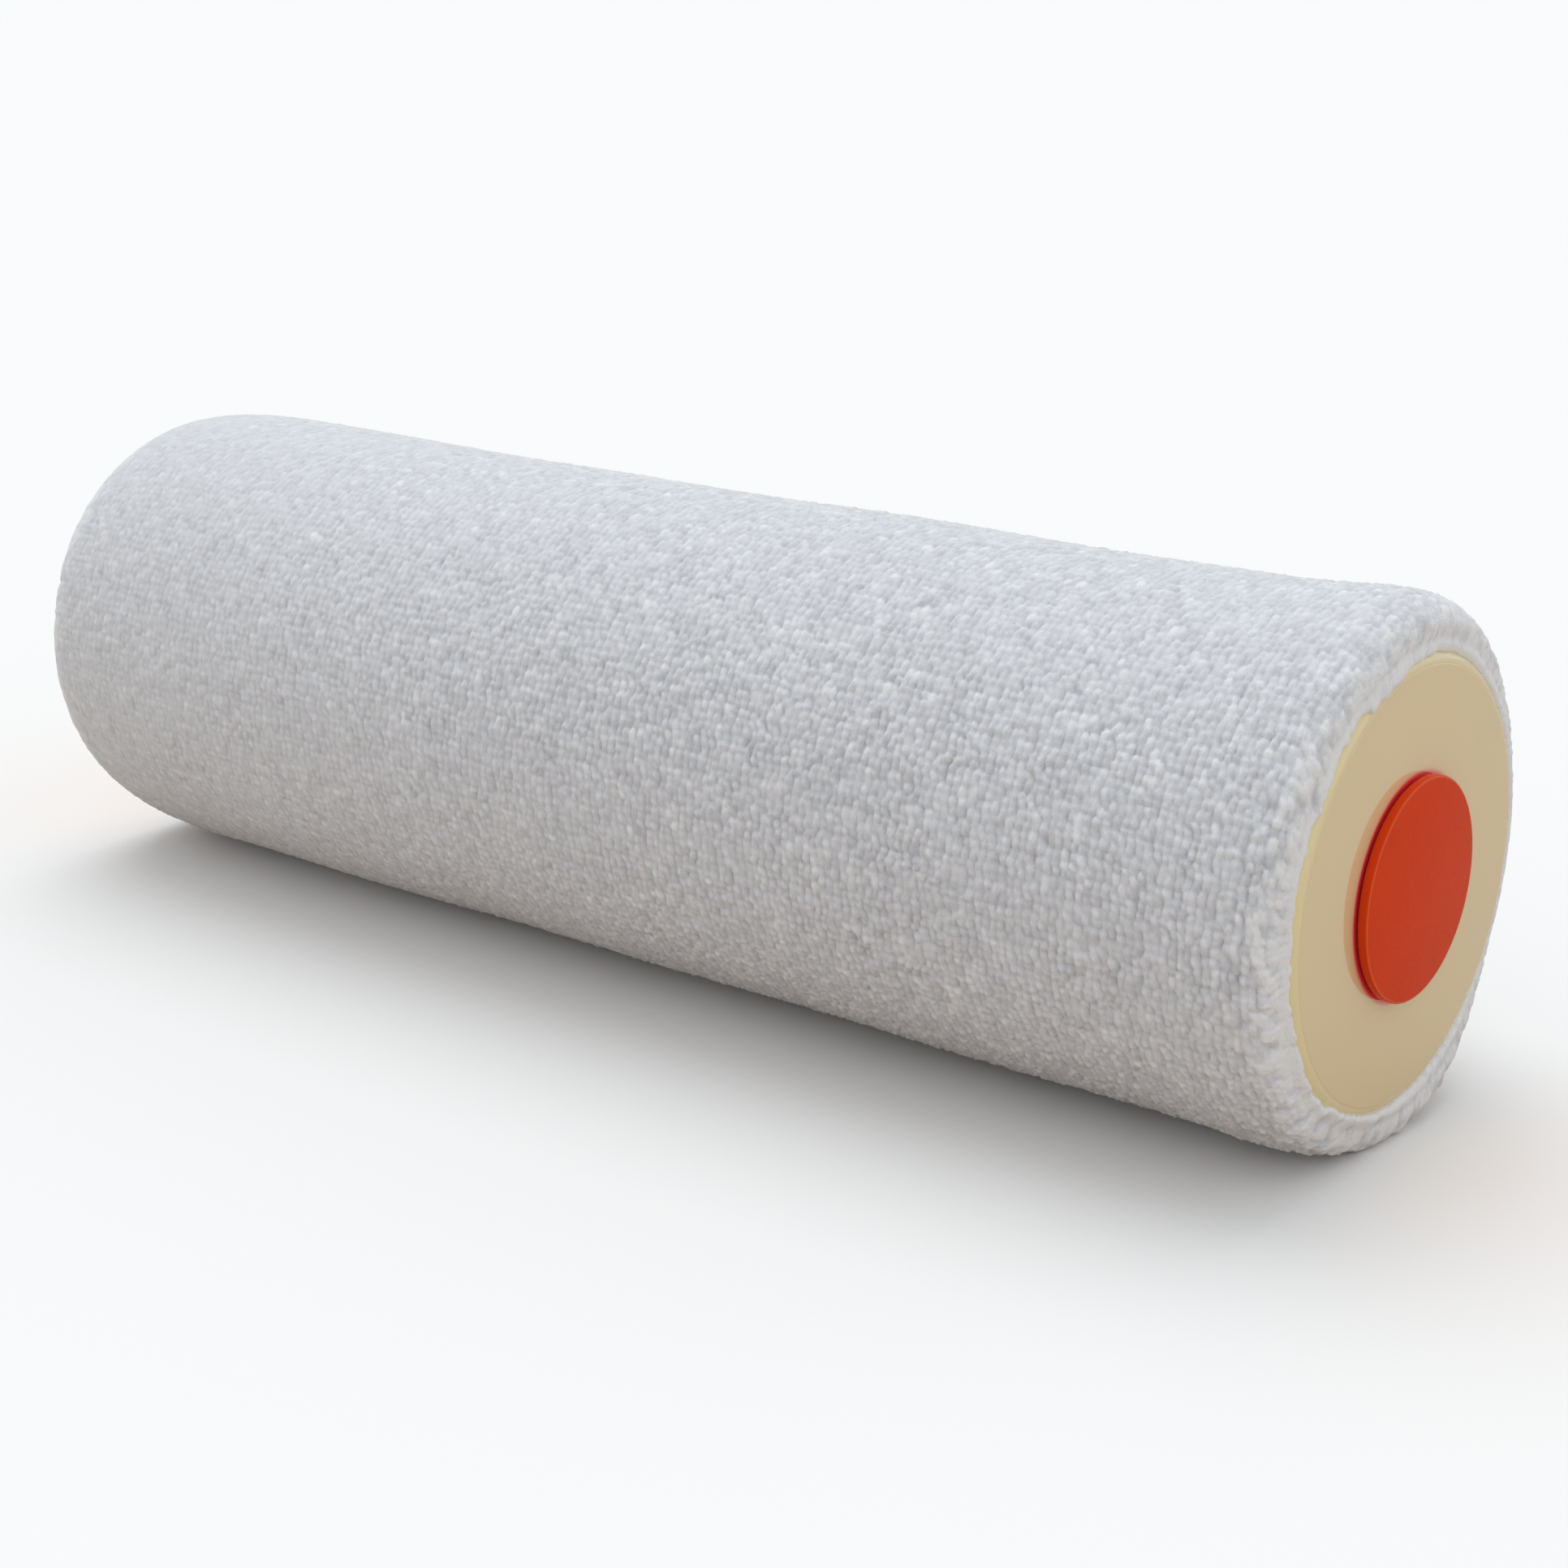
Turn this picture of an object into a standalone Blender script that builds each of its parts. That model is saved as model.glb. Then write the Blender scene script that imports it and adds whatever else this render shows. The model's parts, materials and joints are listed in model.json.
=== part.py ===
"""Paint roller refill for an 8 mm wire frame, lying on its side.

The roller turns about world X. Its closed end points to +X and the end that takes the frame's rod to -X.
The origin is on the surface that it lies on, under the middle of the roller. Metres, +Z up.

A turned piece is drawn as (radius, station) points and screwed about local Z. The two axis empties lie on
the roller's centre line with local Z along world X, so a station is a distance along the roller.
"""

import math

import bmesh
import bpy
from mathutils import Matrix

MM = 0.001

# Driving sizes, in metres
PILE_LENGTH = 180 * MM
PILE_RADIUS = 28.6 * MM
ROD_RADIUS = 4.0 * MM
FLANGE_RADIUS = 24.0 * MM
PLUG_HEAD_RADIUS = 11.7 * MM
CORE_OUTER_RADIUS = 22.0 * MM
CORE_WALL = 1.8 * MM

# Clearances
GAP = 0.3 * MM  # between pieces that are fixed to each other
RUNNING_GAP = 0.2 * MM  # between the insert and the caps that turn on it
ROD_CLEARANCE = 0.15 * MM

# Stations of the outer end, measured along the roller from its middle
PILE_END = PILE_LENGTH / 2
CAP_PROUD = 0.5 * MM
FLANGE_THICKNESS = 2.4 * MM
HEM_THICKNESS = 1.6 * MM
CAP_FACE = PILE_END + CAP_PROUD
FLANGE_BACK = CAP_FACE - FLANGE_THICKNESS
HEM_FACE = FLANGE_BACK - GAP
HEM_BACK = HEM_FACE - HEM_THICKNESS
CORE_END = HEM_BACK - GAP

# Pile cover
COVER_SIDES = 32
CLOSED_END_SHOULDER = 5 * MM
OPEN_END_SHOULDER = 16 * MM
SHOULDER_TIP_RADIUS = FLANGE_RADIUS + 1.2 * MM
SHOULDER_POINTS = 6
HEM_INNER_RADIUS = 20.6 * MM

# End caps
ROUND_SIDES = 48
FLANGE_EDGE_RADIUS = 1.2 * MM
EDGE_POINTS = 4
SKIRT_OUTER_RADIUS = CORE_OUTER_RADIUS - CORE_WALL - GAP
SKIRT_WALL = 1.6 * MM
SKIRT_LENGTH = 14 * MM
SKIRT_LEAD_IN = 0.8 * MM
HUB_BORE_RADIUS = 8.0 * MM
HUB_WALL = 1.8 * MM
HUB_LENGTH = 22 * MM
WEB_COUNT = 6
WEB_THICKNESS = 1.4 * MM
WEB_LENGTH = 12 * MM
WEB_BITE = 0.5 * MM

# Insert that holds the rod
INSERT_RADIUS = HUB_BORE_RADIUS - RUNNING_GAP
ROD_BORE_RADIUS = ROD_RADIUS + ROD_CLEARANCE
HEAD_THICKNESS = 1.1 * MM
HEAD_EDGE_CHAMFER = 0.2 * MM
HEAD_BACK = CAP_FACE + RUNNING_GAP
HEAD_FACE = HEAD_BACK + HEAD_THICKNESS
SHANK_RADIUS = 5.0 * MM
SHANK_LENGTH = 8 * MM
SHANK_LEAD_IN = 0.6 * MM
COLLET_LENGTH = 36 * MM
SOCKET_DEPTH = 8 * MM
GUIDE_OUTER_RADIUS = 6.2 * MM
GUIDE_BORE_RADIUS = 4.4 * MM
BARB_RADIUS = 3.6 * MM
BARB_TIP_LENGTH = 1.6 * MM
BARB_ROOT = 0.5 * MM  # how far a barb reaches into its tongue
TONGUE_COUNT = 2
TONGUE_WIDTH = 4.4 * MM
TONGUE_LENGTH = 13 * MM
TONGUE_SLOT = 1.0 * MM
BARB_TO_TONGUE_TIP = 2.2 * MM
SOCKET_TO_BARB = 5 * MM
MOUTH_RADIUS = 6.0 * MM
MOUTH_DEPTH = 2.4 * MM

# Stations of the collet
COLLET_FACE = HEAD_BACK - GAP
COLLET_END = COLLET_FACE - COLLET_LENGTH
SOCKET_END = COLLET_END + SOCKET_DEPTH
BARB_STATION = SOCKET_END + SOCKET_TO_BARB
TONGUE_TIP = BARB_STATION - BARB_TO_TONGUE_TIP

# A flat of the cover lies on the floor, so the centre line is one apothem above it
AXIS_HEIGHT = PILE_RADIUS * math.cos(math.pi / COVER_SIDES)


def clear_scene():
    for obj in list(bpy.data.objects):
        bpy.data.objects.remove(obj)


def new_collection(name):
    collection = bpy.data.collections.new(name)
    bpy.context.scene.collection.children.link(collection)
    return collection


def plastic(name, color, roughness):
    material = bpy.data.materials.new(name)
    material.use_nodes = True
    shader = material.node_tree.nodes["Principled BSDF"]
    shader.inputs["Base Color"].default_value = (*color, 1)
    shader.inputs["Roughness"].default_value = roughness
    shader.inputs["Metallic"].default_value = 0
    return material


def axis_empty(name, collection):
    """An empty on the roller's centre line, with its Z along world X."""
    empty = bpy.data.objects.new(name, None)
    empty.location = (0, 0, AXIS_HEIGHT)
    empty.rotation_euler = (0, math.radians(90), 0)
    collection.objects.link(empty)
    return empty


def arc(center, radii, start, end, points):
    """Points of an elliptical arc, as (radius, station), between two angles in degrees."""
    angles = [math.radians(start + (end - start) * i / (points - 1)) for i in range(points)]
    return [(center[0] + radii[0] * math.cos(a), center[1] + radii[1] * math.sin(a)) for a in angles]


def turned(name, profile, sides, axis, material, collection, closed=True):
    """A turned solid. The profile runs down its outer side, and closes on itself or on the centre line."""
    mesh = bpy.data.meshes.new(name)
    vertices = [(radius, 0, station) for radius, station in profile]
    edges = [(i, i + 1) for i in range(len(profile) - 1)]
    if closed:
        edges.append((len(profile) - 1, 0))
    mesh.from_pydata(vertices, edges, [])
    obj = bpy.data.objects.new(name, mesh)
    obj.parent = axis
    collection.objects.link(obj)
    mesh.materials.append(material)
    screw = obj.modifiers.new("Turn", "SCREW")
    screw.axis = "Z"
    screw.steps = sides
    screw.render_steps = sides
    screw.use_merge_vertices = True
    screw.merge_threshold = 0.00001
    screw.use_smooth_shade = True
    return obj


def block(name, size, place, turn, axis, collection):
    """A box in the frame of an axis empty: its place is set first, and then it is turned about the centre line."""
    mesh = bpy.data.meshes.new(name)
    shape = bmesh.new()
    bmesh.ops.create_cube(shape, size=1)
    bmesh.ops.scale(shape, vec=size, verts=shape.verts)
    bmesh.ops.translate(shape, vec=place, verts=shape.verts)
    bmesh.ops.rotate(shape, cent=(0, 0, 0), matrix=Matrix.Rotation(turn, 3, "Z"), verts=shape.verts)
    shape.to_mesh(mesh)
    shape.free()
    obj = bpy.data.objects.new(name, mesh)
    obj.parent = axis
    obj.hide_render = True
    obj.display_type = "WIRE"
    collection.objects.link(obj)
    return obj


def combine(obj, helpers, operation):
    for helper in helpers:
        modifier = obj.modifiers.new(helper.name, "BOOLEAN")
        modifier.operation = operation
        modifier.object = helper


def shade_flats(obj):
    """Keeps the flat faces of a smoothly shaded turned piece looking flat."""
    weighted = obj.modifiers.new("Flat faces", "WEIGHTED_NORMAL")
    weighted.keep_sharp = True


def mirrored(profile):
    """The same turned profile at the other end of the roller, still running down its outer side."""
    return [(radius, -station) for radius, station in reversed(profile)]


def cover_end(shoulder_length):
    """Hem, cap recess and rounded shoulder of the cover at its +X end."""
    tip = SHOULDER_TIP_RADIUS
    shoulder = arc(
        (tip, PILE_END - shoulder_length), (PILE_RADIUS - tip, shoulder_length), 90, 0, SHOULDER_POINTS
    )
    return [
        (HEM_INNER_RADIUS, HEM_BACK),
        (HEM_INNER_RADIUS, HEM_FACE),
        (FLANGE_RADIUS + GAP, HEM_FACE),
        (FLANGE_RADIUS + GAP, PILE_END - GAP),
    ] + shoulder


def make_pile_cover(axis, collection):
    """The pile fabric: a sleeve over the core, rounded at both shoulders, with its ends folded over the core."""
    inner_radius = CORE_OUTER_RADIUS + GAP
    bore = [(inner_radius, -HEM_BACK), (inner_radius, HEM_BACK)]
    cover = turned(
        "pile_cover",
        cover_end(CLOSED_END_SHOULDER) + mirrored(cover_end(OPEN_END_SHOULDER)) + bore,
        COVER_SIDES,
        axis,
        plastic("pile_fabric", (0.83, 0.83, 0.84), 0.9),
        collection,
    )
    cover.rotation_euler.z = math.pi / COVER_SIDES
    return cover


def make_core_tube(axis, collection):
    """The rigid plastic tube that the fabric is bonded to."""
    bore = CORE_OUTER_RADIUS - CORE_WALL
    profile = [
        (CORE_OUTER_RADIUS, CORE_END),
        (CORE_OUTER_RADIUS, -CORE_END),
        (bore, -CORE_END),
        (bore, CORE_END),
    ]
    grey = plastic("core_plastic", (0.62, 0.62, 0.60), 0.5)
    return turned("core_tube", profile, ROUND_SIDES, axis, grey, collection)


def cap_profile():
    """Flange, skirt and bored hub of an end cap at the +X end, as one turned section."""
    edge = FLANGE_EDGE_RADIUS
    skirt_end = FLANGE_BACK - SKIRT_LENGTH
    skirt_bore = SKIRT_OUTER_RADIUS - SKIRT_WALL
    hub_radius = HUB_BORE_RADIUS + HUB_WALL
    hub_end = FLANGE_BACK - HUB_LENGTH
    rim = arc((FLANGE_RADIUS - edge, CAP_FACE - edge), (edge, edge), 90, 0, EDGE_POINTS)
    return (
        [(HUB_BORE_RADIUS, CAP_FACE)]
        + rim
        + [
            (FLANGE_RADIUS, FLANGE_BACK),
            (SKIRT_OUTER_RADIUS, FLANGE_BACK),
            (SKIRT_OUTER_RADIUS, skirt_end + SKIRT_LEAD_IN),
            (SKIRT_OUTER_RADIUS - SKIRT_LEAD_IN, skirt_end),
            (skirt_bore, skirt_end),
            (skirt_bore, FLANGE_BACK),
            (hub_radius, FLANGE_BACK),
            (hub_radius, hub_end),
            (HUB_BORE_RADIUS, hub_end),
        ]
    )


def make_end_cap(name, side, axis, material, collection, cutters):
    """A moulded end cap pressed into the core, with webs between its skirt and its hub."""
    profile = cap_profile() if side > 0 else mirrored(cap_profile())
    cap = turned(name, profile, ROUND_SIDES, axis, material, collection)
    inner = HUB_BORE_RADIUS + HUB_WALL - WEB_BITE
    outer = SKIRT_OUTER_RADIUS - SKIRT_WALL + WEB_BITE
    webs = [
        block(
            f"{name}_web_{i}",
            (outer - inner, WEB_THICKNESS, WEB_LENGTH + WEB_BITE),
            ((outer + inner) / 2, 0, side * (FLANGE_BACK - (WEB_LENGTH - WEB_BITE) / 2)),
            math.tau * i / WEB_COUNT,
            axis,
            cutters,
        )
        for i in range(WEB_COUNT)
    ]
    combine(cap, webs, "UNION")
    return cap


def head_rim():
    """The outer edge of a plug's head, from its flat face to its back."""
    return [
        (PLUG_HEAD_RADIUS - HEAD_EDGE_CHAMFER, HEAD_FACE),
        (PLUG_HEAD_RADIUS, HEAD_FACE - HEAD_EDGE_CHAMFER),
        (PLUG_HEAD_RADIUS, HEAD_BACK),
    ]


def make_closing_plug(axis, material, collection):
    """The coloured plug: a flat head over the cap's bore and a shank pressed into the collet."""
    shank_end = HEAD_BACK - SHANK_LENGTH
    shank = [
        (SHANK_RADIUS, HEAD_BACK),
        (SHANK_RADIUS, shank_end + SHANK_LEAD_IN),
        (SHANK_RADIUS - SHANK_LEAD_IN, shank_end),
        (0, shank_end),
    ]
    profile = [(0, HEAD_FACE)] + head_rim() + shank
    return turned("closing_plug", profile, ROUND_SIDES, axis, material, collection, closed=False)


def make_barbs(axis, material, cutters):
    """The barbs of all tongues: a ring inside the collet's bore, kept only where a tongue carries it."""
    slope = ROD_BORE_RADIUS - BARB_RADIUS + BARB_ROOT
    root = ROD_BORE_RADIUS + BARB_ROOT
    half_tip = BARB_TIP_LENGTH / 2
    profile = [
        (BARB_RADIUS, BARB_STATION + half_tip),
        (root, BARB_STATION + half_tip + slope),
        (root, BARB_STATION - half_tip - slope),
        (BARB_RADIUS, BARB_STATION - half_tip),
    ]
    barbs = turned("barbs", profile, ROUND_SIDES, axis, material, cutters)
    barbs.hide_render = True
    barbs.display_type = "WIRE"
    keep = block(
        "barb_width",
        (3 * root, TONGUE_WIDTH - 2 * GAP, 4 * BARB_TIP_LENGTH),
        (0, 0, BARB_STATION),
        0,
        axis,
        cutters,
    )
    combine(barbs, [keep], "INTERSECT")
    return barbs


def make_retaining_collet(axis, material, collection, cutters):
    """The sleeve that turns in the closed cap's hub. Sprung tongues with barbs snap into the rod's groove."""
    plug_bore_end = HEAD_BACK - SHANK_LENGTH - GAP
    profile = [
        (SHANK_RADIUS + GAP, COLLET_FACE),
        (INSERT_RADIUS, COLLET_FACE),
        (INSERT_RADIUS, COLLET_END),
        (GUIDE_OUTER_RADIUS + GAP, COLLET_END),
        (GUIDE_OUTER_RADIUS + GAP, SOCKET_END),
        (ROD_BORE_RADIUS, SOCKET_END),
        (ROD_BORE_RADIUS, plug_bore_end),
        (SHANK_RADIUS + GAP, plug_bore_end),
    ]
    collet = turned("retaining_collet", profile, ROUND_SIDES, axis, material, collection)
    combine(collet, [make_barbs(axis, material, cutters)], "UNION")
    slot_depth = INSERT_RADIUS
    slot_middle = INSERT_RADIUS
    slots = []
    for i in range(TONGUE_COUNT):
        turn = math.tau * i / TONGUE_COUNT
        for side, name in ((-1, "left"), (1, "right")):
            slots.append(
                block(
                    f"tongue_{i}_{name}_slot",
                    (slot_depth, TONGUE_SLOT, TONGUE_LENGTH),
                    (slot_middle, side * (TONGUE_WIDTH + TONGUE_SLOT) / 2, TONGUE_TIP + TONGUE_LENGTH / 2),
                    turn,
                    axis,
                    cutters,
                )
            )
        slots.append(
            block(
                f"tongue_{i}_end_slot",
                (slot_depth, TONGUE_WIDTH + 2 * TONGUE_SLOT, TONGUE_SLOT),
                (slot_middle, 0, TONGUE_TIP - TONGUE_SLOT / 2 + BARB_ROOT),
                turn,
                axis,
                cutters,
            )
        )
    combine(collet, slots, "DIFFERENCE")
    return collet


def make_guide_tube(axis, collection):
    """The tube that leads the rod from the entry bush to the collet."""
    top = SOCKET_END - GAP
    profile = [
        (GUIDE_OUTER_RADIUS, top),
        (GUIDE_OUTER_RADIUS, -top),
        (GUIDE_BORE_RADIUS, -top),
        (GUIDE_BORE_RADIUS, top),
    ]
    clear = plastic("guide_plastic", (0.80, 0.79, 0.74), 0.45)
    return turned("guide_tube", profile, ROUND_SIDES, axis, clear, collection)


def make_entry_bush(axis, material, collection):
    """The flanged bush that turns in the open cap's hub, with a funnel mouth for the rod."""
    at_plus_x = (
        [(ROD_BORE_RADIUS, HEAD_FACE - MOUTH_DEPTH), (MOUTH_RADIUS, HEAD_FACE)]
        + head_rim()
        + [
            (INSERT_RADIUS, HEAD_BACK),
            (INSERT_RADIUS, COLLET_END),
            (GUIDE_OUTER_RADIUS + GAP, COLLET_END),
            (GUIDE_OUTER_RADIUS + GAP, SOCKET_END),
            (ROD_BORE_RADIUS, SOCKET_END),
        ]
    )
    return turned("entry_bush", mirrored(at_plus_x), ROUND_SIDES, axis, material, collection)


def build():
    clear_scene()
    parts = new_collection("paint_roller")
    cutters = new_collection("cutters")
    cutters.hide_render = True
    roller_axis = axis_empty("roller_axis", parts)
    insert_axis = axis_empty("insert_axis", parts)
    cream = plastic("cream_plastic", (0.78, 0.66, 0.42), 0.25)
    orange = plastic("orange_plastic", (0.80, 0.10, 0.02), 0.3)
    natural = plastic("natural_plastic", (0.82, 0.82, 0.78), 0.4)
    make_pile_cover(roller_axis, parts)
    make_core_tube(roller_axis, parts)
    make_end_cap("closed_end_cap", 1, roller_axis, cream, parts, cutters)
    make_end_cap("open_end_cap", -1, roller_axis, cream, parts, cutters)
    make_closing_plug(insert_axis, orange, parts)
    make_retaining_collet(insert_axis, natural, parts, cutters)
    make_guide_tube(insert_axis, parts)
    make_entry_bush(insert_axis, orange, parts)
    for obj in parts.objects:
        if obj.type == "MESH":
            shade_flats(obj)


build()
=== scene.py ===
import json
import math

import bpy
import numpy as np
from mathutils import Matrix, Vector


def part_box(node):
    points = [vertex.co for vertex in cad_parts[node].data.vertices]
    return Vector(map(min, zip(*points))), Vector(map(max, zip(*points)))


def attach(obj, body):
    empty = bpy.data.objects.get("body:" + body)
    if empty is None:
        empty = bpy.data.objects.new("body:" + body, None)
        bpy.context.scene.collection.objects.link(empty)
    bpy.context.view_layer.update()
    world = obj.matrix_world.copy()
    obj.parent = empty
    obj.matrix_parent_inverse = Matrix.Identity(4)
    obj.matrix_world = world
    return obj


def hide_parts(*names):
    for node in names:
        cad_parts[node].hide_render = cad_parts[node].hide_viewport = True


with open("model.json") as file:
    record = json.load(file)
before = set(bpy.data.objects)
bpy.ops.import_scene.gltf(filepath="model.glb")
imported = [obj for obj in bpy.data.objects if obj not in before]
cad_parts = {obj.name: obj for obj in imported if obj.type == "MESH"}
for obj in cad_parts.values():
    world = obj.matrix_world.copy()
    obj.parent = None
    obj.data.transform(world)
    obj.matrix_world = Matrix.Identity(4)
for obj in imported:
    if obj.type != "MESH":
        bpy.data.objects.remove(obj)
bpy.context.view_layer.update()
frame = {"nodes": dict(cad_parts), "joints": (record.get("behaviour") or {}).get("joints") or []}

MM = 0.001
axis_height = frame["joints"][0]["pos_m"][2]


# Camera. It stands in front of the closed end, a little above the roller, and looks along its length.
# Its distance, side step and drop are measured from the middle of the roller.
AZIMUTH = math.radians(38.03)
ELEVATION = math.radians(17.81)
CAMERA_DISTANCE = 341.5 * MM
CAMERA_SIDE_STEP = 8.7 * MM
CAMERA_DROP = 6.7 * MM
LENS = 66.17

right = Vector((math.cos(AZIMUTH), math.sin(AZIMUTH), 0))
back = Vector(
    (
        math.sin(AZIMUTH) * math.cos(ELEVATION),
        -math.cos(AZIMUTH) * math.cos(ELEVATION),
        math.sin(ELEVATION),
    )
)
up = back.cross(right)
middle = Vector((0, 0, axis_height))
bpy.ops.object.camera_add(
    location=middle + back * CAMERA_DISTANCE + right * CAMERA_SIDE_STEP - up * CAMERA_DROP,
    rotation=(math.pi / 2 - ELEVATION, 0, AZIMUTH),
)
camera = bpy.context.object
camera.data.lens = LENS
camera.data.sensor_width = 36
camera.data.clip_start = 0.01
bpy.context.scene.camera = camera
bpy.context.scene.view_settings.view_transform = "Standard"


# Studio. A plain pale floor under a wide cool sky, with one broad soft lamp overhead. What the floor throws
# back on the roller is dimmer and warmer than the floor itself, so that the underside is in a soft shade. The
# sky behind the floor's far edge is as white as the floor.
FLOOR_SIZE = 60
FLOOR_SEEN = (1.0, 0.985, 0.965, 1)
FLOOR_THROWN_BACK = (0.58, 0.50, 0.43, 1)
SKY_LIGHT = (0.93, 0.965, 1.0, 1)
SKY_LIGHT_STRENGTH = 0.74
SKY_SEEN = (0.98, 0.99, 1.0, 1)
SKY_SEEN_STRENGTH = 0.97
LAMP_TILT = (math.radians(-12), math.radians(-16), 0)
LAMP_COLOR = (0.97, 0.985, 1.0)
LAMP_STRENGTH = 0.9
LAMP_SPREAD = math.radians(50)

bpy.ops.object.select_all(action="DESELECT")
bpy.ops.mesh.primitive_plane_add(size=FLOOR_SIZE)
floor = bpy.context.object
floor.name = "studio_floor"
floor_paint = bpy.data.materials.new("floor_paint")
floor_paint.use_nodes = True
floor_nodes, floor_links = floor_paint.node_tree.nodes, floor_paint.node_tree.links
floor_shader = floor_nodes["Principled BSDF"]
floor_shader.inputs["Roughness"].default_value = 1.0
floor_shader.inputs["Specular IOR Level"].default_value = 0.0
floor_ray = floor_nodes.new("ShaderNodeLightPath")
floor_color = floor_nodes.new("ShaderNodeMix")
floor_color.data_type = "RGBA"
floor_color.inputs["A"].default_value = FLOOR_THROWN_BACK
floor_color.inputs["B"].default_value = FLOOR_SEEN
floor_links.new(floor_ray.outputs["Is Camera Ray"], floor_color.inputs["Factor"])
floor_links.new(floor_color.outputs["Result"], floor_shader.inputs["Base Color"])
floor.data.materials.append(floor_paint)

world = bpy.data.worlds.new("studio_sky")
world.use_nodes = True
sky_nodes, sky_links = world.node_tree.nodes, world.node_tree.links
sky_light = sky_nodes["Background"]
sky_light.inputs["Color"].default_value = SKY_LIGHT
sky_light.inputs["Strength"].default_value = SKY_LIGHT_STRENGTH
sky_seen = sky_nodes.new("ShaderNodeBackground")
sky_seen.inputs["Color"].default_value = SKY_SEEN
sky_seen.inputs["Strength"].default_value = SKY_SEEN_STRENGTH
sky_ray = sky_nodes.new("ShaderNodeLightPath")
sky_mix = sky_nodes.new("ShaderNodeMixShader")
sky_links.new(sky_ray.outputs["Is Camera Ray"], sky_mix.inputs[0])
sky_links.new(sky_light.outputs[0], sky_mix.inputs[1])
sky_links.new(sky_seen.outputs[0], sky_mix.inputs[2])
sky_links.new(sky_mix.outputs[0], sky_nodes["World Output"].inputs["Surface"])
bpy.context.scene.world = world

bpy.ops.object.light_add(type="SUN", rotation=LAMP_TILT)
overhead = bpy.context.object
overhead.name = "overhead_lamp"
overhead.data.energy = LAMP_STRENGTH
overhead.data.angle = LAMP_SPREAD
overhead.data.color = LAMP_COLOR


# Core tube, guide tube and collet. The core is extruded polypropylene, and the rod's guide and its sprung
# collet are pressed together inside it. All three stay as designed and only get the finish of their plastic.
def new_material(name, color, roughness):
    """A material with its Principled shader set plainly, and that shader."""
    material = bpy.data.materials.new(name)
    material.use_nodes = True
    shader = material.node_tree.nodes["Principled BSDF"]
    shader.inputs["Base Color"].default_value = (*color, 1)
    shader.inputs["Roughness"].default_value = roughness
    return material, shader


def moulded_grain_group():
    """Moulded plastic: a slow drift of tone, a fine cloudy gloss and a faint orange-peel height."""
    group = bpy.data.node_groups.new("moulded_grain", "ShaderNodeTree")
    tree = group.interface
    for name, kind, value in (
        ("Color", "NodeSocketColor", None),
        ("Drift Scale", "NodeSocketFloat", 60),
        ("Drift", "NodeSocketFloat", 0.06),
        ("Gloss Low", "NodeSocketFloat", 0.2),
        ("Gloss High", "NodeSocketFloat", 0.3),
        ("Peel Scale", "NodeSocketFloat", 900),
    ):
        socket = tree.new_socket(name, in_out="INPUT", socket_type=kind)
        if value is not None:
            socket.default_value = value
    tree.new_socket("Color", in_out="OUTPUT", socket_type="NodeSocketColor")
    for name in ("Roughness", "Height"):
        tree.new_socket(name, in_out="OUTPUT", socket_type="NodeSocketFloat")
    nodes, links = group.nodes, group.links
    given = nodes.new("NodeGroupInput")
    result = nodes.new("NodeGroupOutput")
    place = nodes.new("ShaderNodeTexCoord")
    drift = nodes.new("ShaderNodeTexNoise")
    drift.inputs["Detail"].default_value = 4
    links.new(place.outputs["Object"], drift.inputs["Vector"])
    links.new(given.outputs["Drift Scale"], drift.inputs["Scale"])
    centred = nodes.new("ShaderNodeMath")
    centred.operation = "SUBTRACT"
    centred.inputs[1].default_value = 0.5
    links.new(drift.outputs["Fac"], centred.inputs[0])
    amount = nodes.new("ShaderNodeMath")
    amount.operation = "MULTIPLY_ADD"
    amount.inputs[2].default_value = 1.0
    links.new(centred.outputs[0], amount.inputs[0])
    links.new(given.outputs["Drift"], amount.inputs[1])
    tinted = nodes.new("ShaderNodeVectorMath")
    tinted.operation = "SCALE"
    links.new(given.outputs["Color"], tinted.inputs[0])
    links.new(amount.outputs[0], tinted.inputs["Scale"])
    links.new(tinted.outputs["Vector"], result.inputs["Color"])
    peel = nodes.new("ShaderNodeTexNoise")
    peel.inputs["Detail"].default_value = 3
    links.new(place.outputs["Object"], peel.inputs["Vector"])
    links.new(given.outputs["Peel Scale"], peel.inputs["Scale"])
    links.new(peel.outputs["Fac"], result.inputs["Height"])
    gloss = nodes.new("ShaderNodeMapRange")
    links.new(peel.outputs["Fac"], gloss.inputs["Value"])
    links.new(given.outputs["Gloss Low"], gloss.inputs["To Min"])
    links.new(given.outputs["Gloss High"], gloss.inputs["To Max"])
    links.new(gloss.outputs["Result"], result.inputs["Roughness"])
    return group


moulded_grain = moulded_grain_group()


def plastic(name, color, gloss, drift=0.06, drift_scale=60, peel_scale=900, peel=0.02):
    """A moulded plastic: the grain group drives its colour, roughness and bump."""
    material, shader = new_material(name, color, gloss[0])
    nodes, links = material.node_tree.nodes, material.node_tree.links
    grain = nodes.new("ShaderNodeGroup")
    grain.node_tree = moulded_grain
    grain.inputs["Color"].default_value = (*color, 1)
    grain.inputs["Drift Scale"].default_value = drift_scale
    grain.inputs["Drift"].default_value = drift
    grain.inputs["Gloss Low"].default_value = gloss[0]
    grain.inputs["Gloss High"].default_value = gloss[1]
    grain.inputs["Peel Scale"].default_value = peel_scale
    bump = nodes.new("ShaderNodeBump")
    bump.inputs["Strength"].default_value = peel
    bump.inputs["Distance"].default_value = 0.1 * MM
    links.new(grain.outputs["Color"], shader.inputs["Base Color"])
    links.new(grain.outputs["Roughness"], shader.inputs["Roughness"])
    links.new(grain.outputs["Height"], bump.inputs["Height"])
    links.new(bump.outputs["Normal"], shader.inputs["Normal"])
    return material, shader


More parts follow.
